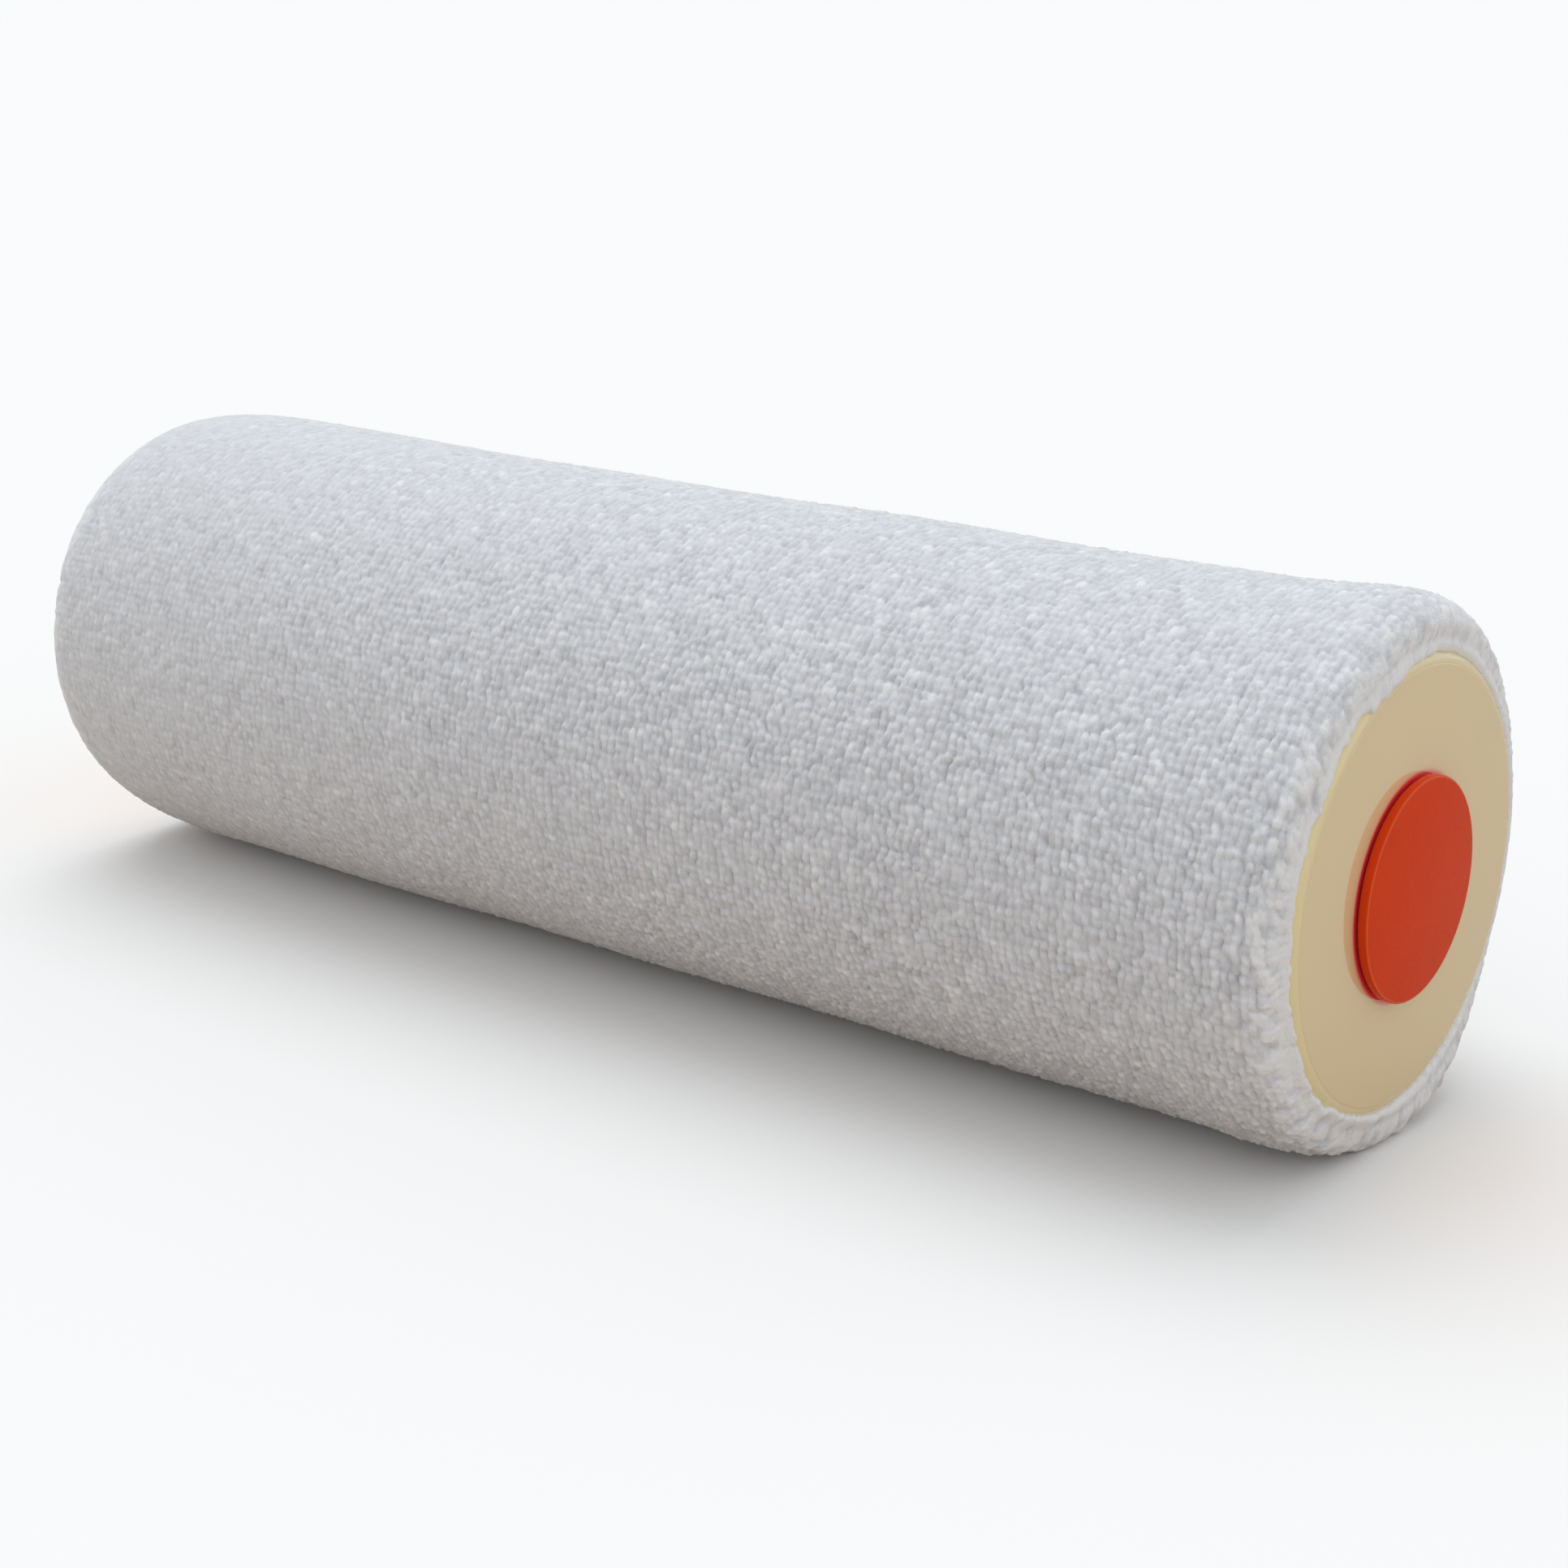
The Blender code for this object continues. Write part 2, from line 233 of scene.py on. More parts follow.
def ring_tint_group():
    """A mask that is 1 in a ring round the roller's axis between two radii, and fades over a soft border."""
    group = bpy.data.node_groups.new("ring_tint", "ShaderNodeTree")
    for name in ("Inner Radius", "Outer Radius", "Softness"):
        group.interface.new_socket(name, in_out="INPUT", socket_type="NodeSocketFloat")
    group.interface.new_socket("Mask", in_out="OUTPUT", socket_type="NodeSocketFloat")
    nodes, links = group.nodes, group.links
    given = nodes.new("NodeGroupInput")
    result = nodes.new("NodeGroupOutput")
    place = nodes.new("ShaderNodeTexCoord")
    centred = nodes.new("ShaderNodeVectorMath")
    centred.operation = "SUBTRACT"
    centred.inputs[1].default_value = (0, 0, axis_height)
    links.new(place.outputs["Object"], centred.inputs[0])
    flattened = nodes.new("ShaderNodeVectorMath")
    flattened.operation = "MULTIPLY"
    flattened.inputs[1].default_value = (0, 1, 1)
    links.new(centred.outputs["Vector"], flattened.inputs[0])
    radius = nodes.new("ShaderNodeVectorMath")
    radius.operation = "LENGTH"
    links.new(flattened.outputs["Vector"], radius.inputs[0])
    masks = []
    for greater, lesser in (
        (radius.outputs["Value"], given.outputs["Inner Radius"]),
        (given.outputs["Outer Radius"], radius.outputs["Value"]),
    ):
        past = nodes.new("ShaderNodeMath")
        past.operation = "SUBTRACT"
        links.new(greater, past.inputs[0])
        links.new(lesser, past.inputs[1])
        fade = nodes.new("ShaderNodeMath")
        fade.operation = "DIVIDE"
        fade.use_clamp = True
        links.new(past.outputs[0], fade.inputs[0])
        links.new(given.outputs["Softness"], fade.inputs[1])
        masks.append(fade)
    both = nodes.new("ShaderNodeMath")
    both.operation = "MULTIPLY"
    links.new(masks[0].outputs[0], both.inputs[0])
    links.new(masks[1].outputs[0], both.inputs[1])
    links.new(both.outputs[0], result.inputs["Mask"])
    return group


ring_tint = ring_tint_group()


def paint_light_ring(material, shader, inner, outer, softness, color, strength):
    """Mixes another colour into a plastic in a ring round the axis, to paint a highlight or a reflection
    there.
    """
    nodes, links = material.node_tree.nodes, material.node_tree.links
    ring = nodes.new("ShaderNodeGroup")
    ring.node_tree = ring_tint
    ring.inputs["Inner Radius"].default_value = inner
    ring.inputs["Outer Radius"].default_value = outer
    ring.inputs["Softness"].default_value = softness
    amount = nodes.new("ShaderNodeMath")
    amount.operation = "MULTIPLY"
    amount.inputs[1].default_value = strength
    links.new(ring.outputs["Mask"], amount.inputs[0])
    mix = nodes.new("ShaderNodeMix")
    mix.data_type = "RGBA"
    mix.inputs["B"].default_value = (*color, 1)
    links.new(amount.outputs[0], mix.inputs["Factor"])
    links.new(shader.inputs["Base Color"].links[0].from_socket, mix.inputs["A"])
    links.new(mix.outputs["Result"], shader.inputs["Base Color"])


def refinish(node, material):
    """Gives a CAD node another finish."""
    mesh = frame["nodes"][node].data
    mesh.materials.clear()
    mesh.materials.append(material)


CORE_GREY = (0.60, 0.60, 0.58)
GUIDE_IVORY = (0.78, 0.77, 0.71)
COLLET_NATURAL = (0.80, 0.80, 0.75)

core_finish, _ = plastic("core_plastic", CORE_GREY, (0.42, 0.55), drift=0.1, drift_scale=25, peel=0.1)
guide_finish, _ = plastic("guide_plastic", GUIDE_IVORY, (0.38, 0.5), drift=0.06, peel=0.08)
collet_finish, _ = plastic("natural_plastic", COLLET_NATURAL, (0.32, 0.42), drift=0.05, peel=0.05)
refinish("core_tube", core_finish)
refinish("guide_tube", guide_finish)
refinish("retaining_collet", collet_finish)


# End caps. Glossy cream mouldings pressed into the core: a flange with a crisp face edge and a rolled rim,
# a skirt, and a bored hub for the insert, with six webs between the skirt and the hub.
def turned_piece(name, outline, steps, closed=True):
    """Draws an outline of (station, radius) points as a wire above the centre line and spins it about it."""
    bpy.ops.object.select_all(action="DESELECT")
    bpy.ops.mesh.primitive_plane_add(size=MM)
    piece = bpy.context.object
    piece.name = name
    piece.data.name = name
    bpy.ops.object.mode_set(mode="EDIT")
    bpy.ops.mesh.select_all(action="SELECT")
    bpy.ops.mesh.merge(type="CENTER")
    stations = [Vector((station, 0, axis_height + radius)) for station, radius in outline]
    bpy.ops.transform.translate(value=stations[0])
    for start, end in zip(stations, stations[1:]):
        bpy.ops.mesh.extrude_region_move(TRANSFORM_OT_translate={"value": end - start})
    bpy.ops.object.mode_set(mode="OBJECT")
    if closed:
        for vertex in piece.data.vertices:
            vertex.select = vertex.index in (0, len(outline) - 1)
        bpy.ops.object.mode_set(mode="EDIT")
        bpy.ops.mesh.edge_face_add()
        bpy.ops.object.mode_set(mode="OBJECT")
    bpy.ops.object.mode_set(mode="EDIT")
    bpy.ops.mesh.select_all(action="SELECT")
    bpy.ops.mesh.spin(steps=steps, angle=math.tau, center=middle, axis=(1, 0, 0))
    bpy.ops.mesh.select_all(action="SELECT")
    bpy.ops.mesh.remove_doubles(threshold=0.002 * MM)
    bpy.ops.mesh.normals_make_consistent(inside=False)
    bpy.ops.object.mode_set(mode="OBJECT")
    return piece


def rounded(outline, radii, points=6):
    """The outline with the corners at these indices rounded off."""
    result = []
    for i, corner in enumerate(outline):
        if i not in radii:
            result.append(corner)
            continue
        here = Vector(corner)
        before = (Vector(outline[i - 1]) - here).normalized()
        after = (Vector(outline[(i + 1) % len(outline)]) - here).normalized()
        half = before.angle(after) / 2
        reach = radii[i] / math.tan(half)
        centre = here + (before + after).normalized() * radii[i] / math.sin(half)
        start, end = here + before * reach - centre, here + after * reach - centre
        for k in range(points + 1):
            result.append(tuple(centre + start.slerp(end, k / points) * radii[i]))
    return result


def shade_round(piece, angle=30):
    """Shades a piece smooth apart from edges that are sharper than this angle."""
    bpy.ops.object.select_all(action="DESELECT")
    piece.select_set(True)
    bpy.context.view_layer.objects.active = piece
    bpy.ops.object.shade_smooth_by_angle(angle=math.radians(angle))


CAP_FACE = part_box("closed_end_cap")[1].x
CAP_INNER_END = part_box("closed_end_cap")[0].x
FLANGE_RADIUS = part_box("closed_end_cap")[1].y
FLANGE_BACK = CAP_FACE - 2.4 * MM
FACE_FLAT_RADIUS = FLANGE_RADIUS - 1.35 * MM
RIM_STEP = 0.05 * MM  # how far the rolled rim starts below the flat face
SKIRT_RADIUS = 19.9 * MM
SKIRT_BORE = 18.3 * MM
SKIRT_END = FLANGE_BACK - 14 * MM
HUB_BORE = 8.0 * MM
HUB_RADIUS = 9.8 * MM
WEB_COUNT = 6
WEB_THICKNESS = 1.4 * MM
WEB_END = FLANGE_BACK - 12 * MM
WEB_LAP = 0.5 * MM  # how far a web reaches into the hub, the skirt and the flange
CAP_STEPS = 144
CREAM = (0.90, 0.725, 0.405)
# painted highlight: the rolled rim is lighter and yellower where it catches the light
CREAM_RIM_PAINTED_HIGHLIGHT = (0.97, 0.83, 0.46)
CREAM_PAINTED_RED_REFLECTION = (0.95, 0.02, 0.06)  # painted reflection of the plug's red glow, deep in the gap behind its head

cream_finish, cream_shader = plastic(
    "cream_plastic", CREAM, (0.07, 0.12), drift=0.05, drift_scale=45, peel_scale=700, peel=0.015
)
cream_shader.inputs["Coat Weight"].default_value = 1.0
cream_shader.inputs["Coat IOR"].default_value = 1.6
cream_shader.inputs["Coat Roughness"].default_value = 0.04
cream_shader.inputs["Subsurface Weight"].default_value = 0.15
cream_shader.inputs["Subsurface Radius"].default_value = (1.0, 0.7, 0.4)
cream_shader.inputs["Subsurface Scale"].default_value = 1.2 * MM
# Painted highlight: a lighter, yellower ring over the rolled rim, where it catches the light.
paint_light_ring(cream_finish, cream_shader, 22.7 * MM, 25.0 * MM, 0.35 * MM, CREAM_RIM_PAINTED_HIGHLIGHT, 0.8)
# Painted reflection: a red ring on the cream under the plug's head, where the plug's glow shows in the gap.
paint_light_ring(cream_finish, cream_shader, 10.0 * MM, 12.2 * MM, 0.45 * MM, CREAM_PAINTED_RED_REFLECTION, 0.95)


def end_cap(name, side):
    """An end cap at the +X end, or mirrored to the -X end."""
    outline = [
        (CAP_FACE, HUB_BORE),
        (CAP_FACE, FACE_FLAT_RADIUS),
        (CAP_FACE - RIM_STEP, FACE_FLAT_RADIUS + 0.1 * MM),
        (CAP_FACE - RIM_STEP, FLANGE_RADIUS),
        (FLANGE_BACK, FLANGE_RADIUS),
        (FLANGE_BACK, SKIRT_RADIUS),
        (SKIRT_END, SKIRT_RADIUS),
        (SKIRT_END, SKIRT_BORE),
        (FLANGE_BACK, SKIRT_BORE),
        (FLANGE_BACK, HUB_RADIUS),
        (CAP_INNER_END, HUB_RADIUS),
        (CAP_INNER_END, HUB_BORE),
    ]
    outline = rounded(outline, {1: 0.06 * MM, 3: 1.15 * MM, 4: 0.3 * MM, 6: 0.8 * MM}, points=8)
    cap = turned_piece(name, [(side * station, radius) for station, radius in outline], CAP_STEPS)
    inner, outer, front = HUB_RADIUS - WEB_LAP, SKIRT_BORE + WEB_LAP, FLANGE_BACK + WEB_LAP
    for i in range(WEB_COUNT):
        bpy.ops.object.select_all(action="DESELECT")
        bpy.ops.mesh.primitive_cube_add(
            size=1,
            location=middle + Vector((side * (front + WEB_END) / 2, 0, (inner + outer) / 2)),
            scale=(front - WEB_END, WEB_THICKNESS, outer - inner),
        )
        web = bpy.context.object
        bpy.ops.object.transform_apply(location=True, rotation=True, scale=True)
        turn = Matrix.Translation(middle) @ Matrix.Rotation(math.tau * i / WEB_COUNT, 4, "X")
        web.data.transform(turn @ Matrix.Translation(-middle))
        union = cap.modifiers.new("web", "BOOLEAN")
        union.operation = "UNION"
        union.object = web
        bpy.context.view_layer.objects.active = cap
        bpy.ops.object.modifier_apply(modifier=union.name)
        bpy.data.objects.remove(web)
    shade_round(cap, 25)
    cap.data.materials.append(cream_finish)
    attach(cap, "roller")
    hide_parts(name)
    cap.name = name + "_moulding"


end_cap("closed_end_cap", 1)
end_cap("open_end_cap", -1)


# Closing plug and entry bush. Both are glossy orange mouldings with a thin flat head that stands just clear
# of the cap. The plug's shank is pressed into the collet, and the bush has a funnel mouth for the rod.
HEAD_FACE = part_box("closing_plug")[1].x
HEAD_BACK = HEAD_FACE - 1.1 * MM
HEAD_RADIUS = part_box("closing_plug")[1].y
SHANK_RADIUS = 5 * MM
SHANK_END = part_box("closing_plug")[0].x
BUSH_RADIUS = 7.8 * MM
BUSH_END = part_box("entry_bush")[1].x
SOCKET_RADIUS = 6.5 * MM
SOCKET_END = BUSH_END - 8 * MM
ROD_BORE = 4.15 * MM
MOUTH_RADIUS = 6 * MM
MOUTH_DEPTH = 2.4 * MM
HEAD_EDGE = 0.22 * MM
HEAD_UNDERCUT = 0.3 * MM
TURNED_STEPS = 128
ORANGE = (0.81, 0.058, 0.007)
# painted highlight along the crisp edge of each head's flat face
ORANGE_PAINTED_EDGE_HIGHLIGHT = (1.0, 0.30, 0.12)

orange_finish, orange_shader = plastic(
    "orange_plastic", ORANGE, (0.22, 0.32), drift=0.12, drift_scale=160, peel_scale=1600, peel=0.08
)
orange_shader.inputs["Specular IOR Level"].default_value = 0.05
orange_shader.inputs["Subsurface Weight"].default_value = 0.12
orange_shader.inputs["Subsurface Radius"].default_value = (1.0, 0.25, 0.08)
orange_shader.inputs["Subsurface Scale"].default_value = 1.0 * MM
# Painted highlight: a thin lighter ring at the edge of each head's flat face.
paint_light_ring(orange_finish, orange_shader, 11.42 * MM, 11.66 * MM, 0.08 * MM, ORANGE_PAINTED_EDGE_HIGHLIGHT, 0.35)


def orange_piece(name, outline, radii, closed):
    """A turned orange piece that stands for the CAD node of this name."""
    piece = turned_piece(name, rounded(outline, radii), TURNED_STEPS, closed)
    shade_round(piece)
    piece.data.materials.append(orange_finish)
    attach(piece, "rod_insert")
    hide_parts(name)
    piece.name = name + "_moulding"


orange_piece(
    "closing_plug",
    [
        (HEAD_FACE, 0),
        (HEAD_FACE, HEAD_RADIUS),
        (HEAD_BACK + HEAD_UNDERCUT, HEAD_RADIUS),
        (HEAD_BACK, HEAD_RADIUS - HEAD_UNDERCUT),
        (HEAD_BACK, SHANK_RADIUS),
        (SHANK_END, SHANK_RADIUS),
        (SHANK_END, 0),
    ],
    {1: HEAD_EDGE, 2: 0.1 * MM, 5: 0.6 * MM},
    closed=False,
)
orange_piece(
    "entry_bush",
    [
        (-HEAD_FACE + MOUTH_DEPTH, ROD_BORE),
        (-HEAD_FACE, MOUTH_RADIUS),
        (-HEAD_FACE, HEAD_RADIUS),
        (-HEAD_BACK, HEAD_RADIUS),
        (-HEAD_BACK, BUSH_RADIUS),
        (BUSH_END, BUSH_RADIUS),
        (BUSH_END, SOCKET_RADIUS),
        (SOCKET_END, SOCKET_RADIUS),
        (SOCKET_END, ROD_BORE),
    ],
    {1: 0.3 * MM, 2: HEAD_EDGE, 3: 0.1 * MM, 5: 0.3 * MM},
    closed=True,
)


# Pile fabric. White microfibre pile on a woven backing, bonded round the core, with each end folded over the
# core and held under a cap's flange. The nap lies round the roller. At the shoulders it is combed towards the
# cap, and its last tufts lie unevenly on the cap's rolled rim.
PILE_RADIUS = 28.6 * MM
PILE_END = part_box("pile_cover")[1].x
SHOULDER_TIP = 25.2 * MM
CLOSED_SHOULDER = 5 * MM
CLOSED_FULLNESS = 0.65  # 1 is a plain quarter ellipse, and less is a squarer shoulder
OPEN_SHOULDER = 16 * MM
END_SWELL = 0.5 * MM  # how much thicker the pile stands just before the closed end
SWELL_AT = 83 * MM
SWELL_WIDTH = 6 * MM
BACKING_DEPTH = 1.6 * MM  # from the tips of the pile down to its backing
BACKING_BORE = 22.3 * MM
HEM_BORE = 20.6 * MM
HEM_FACE = 87.8 * MM
HEM_BACK = 86.2 * MM
TUFT_PITCH = 0.98 * MM
TUFT_RELIEF = 0.42 * MM
TUFT_BEND = 0.16 * MM  # how far the rows of tufts wander
CLUMP_PITCH = 1.9 * TUFT_PITCH
TOUSLED_RELIEF = 0.20 * MM
WAVE_HEIGHT = 0.10 * MM
EDGE_DIP = 0.95 * MM  # how far the edge drops behind the cap's rim, over the next width
EDGE_DIP_WIDTH = 0.9 * MM
COMBED = 3.5 * MM  # how far from the cap's rim the nap starts to turn towards it
COMBED_OVER = 3 * MM  # the length over which it turns
COMBED_TURN = math.radians(55)
SKIN_MESH = 0.25 * MM
BAND_TRIANGLES = 190000
FLOOR_CLEARANCE = 0.03 * MM
LOCK_START, LOCK_END = 1.35, 2.06  # turns, from the far side over the top
PILE_PLAIN = (0.80, 0.81, 0.84)  # where the tones below aren't used
PILE_PAINTED_SHADE = (0.65, 0.655, 0.675, 1)  # painted shade, darker between the tufts
PILE_WHITE = (0.83, 0.84, 0.865, 1)
# painted glints, lighter on the tips of the tufts
PILE_TIP_PAINTED_GLINT = (0.97, 0.975, 0.98, 1)


def pile_material():
    """White fibre: each tuft has its own tone, with painted shade between the tufts and painted glints on
    their tips, and fine streaks run along the fibres.
    """
    material, shader = new_material("pile_fabric", PILE_PLAIN, 0.9)
    nodes, links = material.node_tree.nodes, material.node_tree.links
    tone = nodes.new("ShaderNodeAttribute")
    tone.attribute_name = "tuft_tone_and_painted_light"
    place = nodes.new("ShaderNodeUVMap")
    place.uv_map = "fibre_uv"
    streaks = nodes.new("ShaderNodeTexNoise")
    streaks.inputs["Scale"].default_value = 1
    streaks.inputs["Detail"].default_value = 3
    streaks.inputs["Roughness"].default_value = 0.75
    links.new(place.outputs["UV"], streaks.inputs["Vector"])
    shade = nodes.new("ShaderNodeMath")
    shade.operation = "MULTIPLY_ADD"
    shade.inputs[1].default_value = 0.5
    links.new(streaks.outputs["Fac"], shade.inputs[0])
    links.new(tone.outputs["Fac"], shade.inputs[2])
    # The ramp paints shade between the tufts and glints on their tips.
    ramp = nodes.new("ShaderNodeValToRGB")
    ramp.color_ramp.elements[0].position = 0.25
    ramp.color_ramp.elements[0].color = PILE_PAINTED_SHADE
    ramp.color_ramp.elements[1].position = 0.62
    ramp.color_ramp.elements[1].color = PILE_WHITE
    ramp.color_ramp.elements.new(0.80).color = PILE_TIP_PAINTED_GLINT
    links.new(shade.outputs[0], ramp.inputs["Fac"])
    links.new(ramp.outputs["Color"], shader.inputs["Base Color"])
    bump = nodes.new("ShaderNodeBump")
    bump.inputs["Strength"].default_value = 1.0
    bump.inputs["Distance"].default_value = 0.14 * MM
    links.new(streaks.outputs["Fac"], bump.inputs["Height"])
    links.new(bump.outputs["Normal"], shader.inputs["Normal"])
    shader.inputs["Sheen Weight"].default_value = 0.15
    shader.inputs["Sheen Roughness"].default_value = 0.5
    shader.inputs["Specular IOR Level"].default_value = 0.25
    shader.inputs["Subsurface Weight"].default_value = 0.4
    shader.inputs["Subsurface Radius"].default_value = (1.0, 1.0, 1.0)
    shader.inputs["Subsurface Scale"].default_value = 0.4 * MM
    return material


pile_finish = pile_material()


def shoulder_line(points):
    """Where the pile's tips reach, from one cap's rim to the other's, as (station, radius) points."""
    drop = PILE_RADIUS - SHOULDER_TIP
    line = []
    for k in range(points + 1):
        a = math.pi / 2 * k / points
        line.append((-PILE_END + OPEN_SHOULDER * (1 - math.cos(a)), SHOULDER_TIP + drop * math.sin(a)))
    straight = 60
    begin, finish = line[points][0], PILE_END - CLOSED_SHOULDER
    for k in range(1, straight):
        line.append((begin + (finish - begin) * k / straight, PILE_RADIUS))
    for k in range(points + 1):
        a = math.pi / 2 * k / points
        reach, rise = math.sin(a) ** CLOSED_FULLNESS, abs(math.cos(a)) ** CLOSED_FULLNESS
        line.append((PILE_END - CLOSED_SHOULDER * (1 - reach), SHOULDER_TIP + drop * rise))
    swollen = []
    for station, radius in line:
        swell = END_SWELL * math.exp(-(((station - SWELL_AT) / SWELL_WIDTH) ** 2))
        swollen.append((station, radius + swell * min(1, (radius - SHOULDER_TIP) / drop)))
    return swollen


class PileSurface:
    """The pile's tip surface, on which a place is its distance along the outline, its turn and its height."""

    def __init__(self):
        over_rim = [
            (PILE_END + 0.30 * MM, SHOULDER_TIP - 0.5 * MM),
            (CAP_FACE + 0.15 * MM, FLANGE_RADIUS - 0.1 * MM),
            (CAP_FACE + 0.20 * MM, FLANGE_RADIUS - 2.5 * MM),
        ]
        line = np.array([(-s, r) for s, r in reversed(over_rim)] + shoulder_line(24) + over_rim)
        reach = np.concatenate([[0], np.cumsum(np.linalg.norm(np.diff(line, axis=0), axis=1))])
        self.along = np.linspace(0, reach[-1], 900)
        self.station = np.interp(self.along, reach, line[:, 0])
        self.radius = np.interp(self.along, reach, line[:, 1])
        slope = np.unwrap(np.arctan2(np.gradient(self.radius), np.gradient(self.station)))
        self.slope = np.convolve(np.pad(slope, 3, mode="edge"), np.full(7, 1 / 7), mode="valid")
        self.length = reach[-1]
        self.rim = 2.5 * MM  # how much of the path lies on the rim at each end

    def point(self, along, turn, height):
        """The points of the pile at these places, kept just clear of the floor."""
        slope = np.interp(along, self.along, self.slope)
        station = np.interp(along, self.along, self.station) - height * np.sin(slope)
        radius = np.interp(along, self.along, self.radius) + height * np.cos(slope)
        upright = np.maximum(axis_height + radius * np.sin(turn), FLOOR_CLEARANCE)
        return np.stack([station, radius * np.cos(turn), upright], axis=-1)


pile_surface = PileSurface()


def soft_waves(a, b, seed, finest=9):
    """Smooth uneven numbers between about -1 and 1 over a length and a turn, the same each time."""
    draw = np.random.default_rng(seed)
    total = np.zeros_like(b)
    for _ in range(8):
        along_rate, turn_rate = draw.uniform(-1, 1), draw.integers(-finest, finest + 1)
        total += np.sin(along_rate * a + turn_rate * b + draw.uniform(0, math.tau))
    return total / 3


def comb(along, turn):
    """Which way the pile lies, as a turn from 0, round the roller, and how near it is to a cap, up to 1."""
    wander = 0.25 * soft_waves(along * 260, turn, 3) + 0.15 * soft_waves(along * 500, turn * 3, 4, 20)
    spread = 1.0 * MM * soft_waves(along * 0, turn, 6, 14)
    begin = pile_surface.rim + COMBED + 2.5 * MM
    to_closed = np.clip((along - (pile_surface.length - begin) + spread) / COMBED_OVER, 0, 1)
    to_open = np.clip((begin - along + spread) / COMBED_OVER, 0, 1)
    turned = to_closed - to_open
    end = np.abs(turned)
    return wander * (1 + end) + np.sign(turned) * end * COMBED_TURN, end


def lumps(along, turn, pitch, way, seed, long, sharp, stray=0.19):
    """The tops of tufts in uneven rows, as a height from about 0 to 1, and a tone of each tuft's own."""
    rows = round(pile_surface.length / pitch)
    columns = round(math.tau * PILE_RADIUS / pitch)
    draw = np.random.default_rng(seed)
    shift_u, shift_v = draw.uniform(-stray, stray, (2, rows + 6, columns))
    tall = draw.uniform(0.55, 1.0, (rows + 6, columns))
    wide = draw.uniform(0.46, 0.66, (rows + 6, columns))
    own_tone = draw.normal(0, 1, (rows + 6, columns))
    u, v = along / pile_surface.length * rows, turn / math.tau * columns
    sine, cosine = np.sin(way), np.cos(way)
    total, tones = np.zeros_like(u), np.zeros_like(u)
    for step_u in (-1, 0, 1):
        for step_v in (-1, 0, 1):
            i, j = np.floor(u).astype(int) + step_u, np.floor(v).astype(int) + step_v
            cell = (np.clip(i + 2, 0, rows + 5), j % columns)
            off_u, off_v = u - (i + 0.5 + shift_u[cell]), v - (j + 0.5 + shift_v[cell])
            forward, sideways = off_u * sine + off_v * cosine, off_u * cosine - off_v * sine
            near = ((forward + 0.12) / long) ** 2 + sideways**2
            weight = np.exp(sharp * tall[cell] * (1 - near / wide[cell] ** 2))
            total += weight
            tones += weight * own_tone[cell]
    return np.log(total + math.exp(-sharp)) / sharp, tones / (total + 1e-6)


def pile_edge(turn, side):
    """How far from the end of the outline the pile stops, which is uneven where it lies on the cap's rim.

    At the closed end a lock of it lies further over the rim near the top, and stops short in a notch.
    """
    ragged = 0.26 * soft_waves(turn * 0, turn, 81 + side, 15)
    ragged += 0.20 * soft_waves(turn * 0, turn, 84 + side, 50)
    ragged += 0.12 * soft_waves(turn * 0, turn, 87 + side, 120)
    if side > 0:
        ragged -= 0.8 * np.clip((turn - LOCK_START) / 0.6, 0, 1) * (turn < LOCK_END)
    return pile_surface.rim + np.minimum(ragged - 0.35, -0.05) * MM


def settled(along, turn, from_edge):
    """Where lying and handling have pressed the pile down or let it spring up.

    The turns run from the far side over the top, and the stations along the axis are in millimetres.
    """
    station = np.interp(along, pile_surface.along, pile_surface.station) / MM
    top = np.maximum(np.sin(turn), 0) ** 2
    far = np.maximum(np.cos(turn), 0) ** 2
    near = np.maximum(-np.cos(turn), 0) ** 2
    low_far = np.maximum(np.cos(turn + 1.2), 0) ** 8
    low_near = np.maximum(np.cos(turn + 2.0), 0) ** 8
    at_closed = np.exp(-(((station - 88) / 7) ** 2))
    change = at_closed * (0.7 * top - 0.8 * far + 1.1 * low_far - 0.45 * low_near)
    change -= 0.7 * top * np.exp(-(((station + 35) / 48) ** 2))
    change -= 0.6 * near * np.exp(-(((station + 85) / 12) ** 2))
    return change * MM * np.clip(from_edge / (3 * MM), 0, 1)


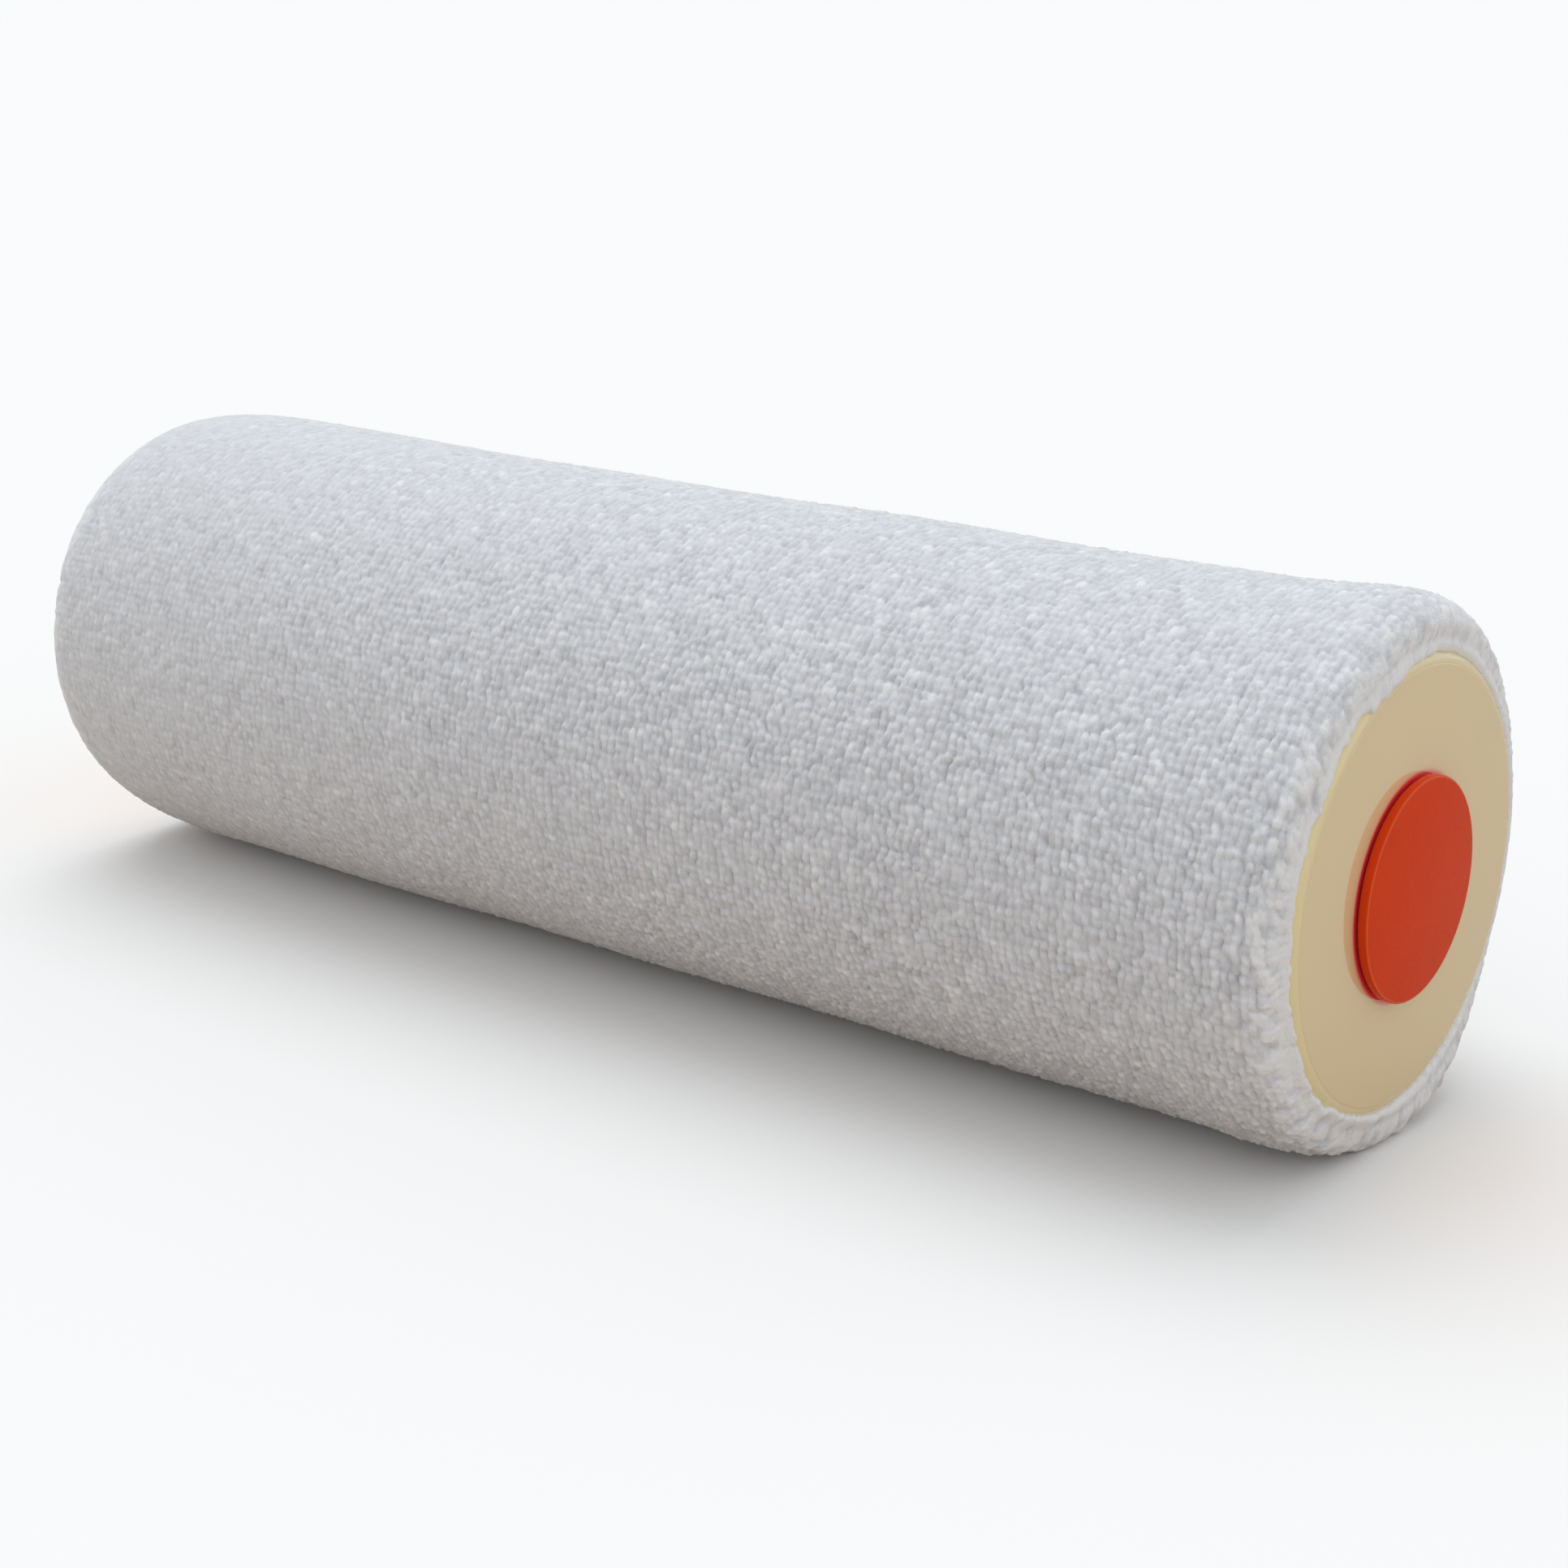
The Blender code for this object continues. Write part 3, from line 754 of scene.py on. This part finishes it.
def pile_height(along, turn):
    """How far the pile stands above or below its outline at each place, and its tone there, which holds each
    tuft's own tone with painted shade and painted light.

    The tufts lean together in clumps. They are calmer near the edges, on top and towards the open end, and
    tousled low down beside the closed cap.
    """
    way, end = comb(along, turn)
    bent_along = along + TUFT_BEND * soft_waves(along * 900, turn * 5, 41, 12)
    bent_turn = turn + TUFT_BEND / PILE_RADIUS * soft_waves(along * 900, turn * 5, 43, 12)
    tops, tones = lumps(bent_along, bent_turn, TUFT_PITCH, way, 51, 1.4 + 0.2 * end, 12)
    clumps, _ = lumps(bent_along, bent_turn, CLUMP_PITCH, way, 52, 1.3, 5, stray=0.5)
    to_closed = pile_surface.length - along
    from_edge = np.minimum(along - pile_edge(turn, -1), to_closed - pile_edge(turn, 1))
    calm = np.clip(from_edge / (2.5 * MM), 0.3, 1) * (1 - 0.25 * np.maximum(np.sin(turn), 0) ** 2)
    flatter = np.clip(1 - along / (0.6 * pile_surface.length), 0, 1)
    calm *= (1 + 0.3 * np.maximum(-np.cos(turn), 0)) * (1 - 0.5 * flatter)
    low_near = np.clip(1.6 * np.cos(turn - 3.7), 0, 1)
    tousled = low_near * np.clip((to_closed - 4 * MM) / (1.5 * MM), 0, 1)
    tousled *= np.clip((12 * MM - to_closed) / (5 * MM), 0, 1)
    relief = (1 - 0.6 * end) * (tops - 0.75) + (0.25 + 0.2 * end) * (clumps - 0.8)
    height = TUFT_RELIEF * calm * relief
    height += TOUSLED_RELIEF * tousled * (clumps - 0.7)
    height += WAVE_HEIGHT * soft_waves(along * 150, turn, 44, 5) + settled(along, turn, from_edge)
    height -= EDGE_DIP * np.clip(1 - from_edge / EDGE_DIP_WIDTH, 0, 1) ** 2
    # Each tuft's own tone, with painted shade: the tone follows the tuft tops and is darker between them.
    tone = 0.31 + (0.09 * tones + 0.25 * (tops - 0.75)) * (1 - 0.4 * flatter)
    # Painted light: lighter where the nap turns towards a cap over the shoulders, and lighter on the clumps
    # there.
    tone += end * (0.25 + 0.2 * (clumps - 0.5))
    # Painted light and shade: the tousled clumps are lighter on top and darker between them.
    tone += tousled * np.maximum(0.12 + 0.8 * (clumps - 0.65), -0.02)
    # Painted light: lighter over the last 2 mm before the edge, where the pile rolls down into shade.
    return height, tone + 0.25 * np.clip(1 - from_edge / (2 * MM), 0, 1)


def dress_pile(piece, places, turn_for_uv, along_for_uv, tones):
    """Moves a piece's points into place and gives it its fibre map, its tones and its finish."""
    mesh = piece.data
    mesh.vertices.foreach_set("co", places.astype(np.float32).ravel())
    tone = mesh.attributes.new("tuft_tone_and_painted_light", "FLOAT", "POINT")
    tone.data.foreach_set("value", np.clip(tones, 0, 0.8).astype(np.float32))
    loops = np.zeros(len(mesh.loops), np.int32)
    mesh.loops.foreach_get("vertex_index", loops)
    for layer in list(mesh.uv_layers):
        mesh.uv_layers.remove(layer)
    uv = mesh.uv_layers.new(name="fibre_uv")
    flat = np.stack([turn_for_uv, along_for_uv], axis=1)
    uv.data.foreach_set("uv", flat[loops].astype(np.float32).ravel())
    mesh.materials.clear()
    mesh.materials.append(pile_finish)
    mesh.shade_smooth()
    mesh.update()


def pile_skin():
    """The tops of the pile all over the roller, as bands cut from a fine grid and rolled up."""
    start, end = pile_surface.rim, pile_surface.length - pile_surface.rim
    across = round(math.tau * PILE_RADIUS / SKIN_MESH)
    along_total = round((end - start) / SKIN_MESH)
    bands = math.ceil(2 * across * along_total / BAND_TRIANGLES)
    pieces = []
    for number in range(bands):
        first, last = along_total * number // bands, along_total * (number + 1) // bands
        bpy.ops.object.select_all(action="DESELECT")
        bpy.ops.mesh.primitive_grid_add(x_subdivisions=last - first, y_subdivisions=across, size=2)
        band = bpy.context.object
        band.name = band.data.name = f"pile_skin_{number + 1}"
        flat = np.zeros(len(band.data.vertices) * 3, np.float32)
        band.data.vertices.foreach_get("co", flat)
        flat = flat.reshape(-1, 3).astype(float)
        along = start + (end - start) * (first + (flat[:, 0] + 1) / 2 * (last - first)) / along_total
        turn = np.round((flat[:, 1] + 1) / 2 * across) / across * math.tau
        along += (pile_edge(turn, -1) - start) * np.clip(1 - (along - start) / (4 * MM), 0, 1)
        along -= (pile_edge(turn, 1) - start) * np.clip(1 - (end - along) / (4 * MM), 0, 1)
        height, tones = pile_height(along, turn)
        places = pile_surface.point(along, turn, height)
        dress_pile(band, places, turn * PILE_RADIUS / MM * 1.6, along / MM * 4, tones)
        bpy.ops.object.mode_set(mode="EDIT")
        bpy.ops.mesh.select_all(action="SELECT")
        bpy.ops.mesh.remove_doubles(threshold=0.002 * MM)
        bpy.ops.mesh.normals_make_consistent(inside=False)
        bpy.ops.object.mode_set(mode="OBJECT")
        pieces.append(band)
    return pieces


def pile_backing():
    """The woven backing as one sleeve round the core, with a hem folded inwards at each end."""
    outer = [
        (station * (1 - 1.0 * MM / PILE_END), radius - BACKING_DEPTH)
        for station, radius in shoulder_line(10)
        if radius - BACKING_DEPTH > FLANGE_RADIUS + 0.2 * MM
    ]
    inner = [
        (HEM_FACE, FLANGE_RADIUS + 0.1 * MM),
        (HEM_FACE, HEM_BORE),
        (HEM_BACK, HEM_BORE),
        (HEM_BACK, BACKING_BORE),
    ]
    sleeve = turned_piece("pile_backing", outer + inner + [(-s, r) for s, r in reversed(inner)], 96)
    places = np.zeros(len(sleeve.data.vertices) * 3, np.float32)
    sleeve.data.vertices.foreach_get("co", places)
    places = places.reshape(-1, 3).astype(float)
    turn = np.arctan2(places[:, 2] - axis_height, places[:, 1])
    tones = np.full(len(places), 0.2)
    dress_pile(sleeve, places, turn * PILE_RADIUS / MM * 1.2, places[:, 0] / MM * 3, tones)
    shade_round(sleeve, 60)
    return sleeve


backing = pile_backing()
pile = pile_skin()
for piece in [backing, *pile]:
    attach(piece, "roller")
    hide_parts("pile_cover")
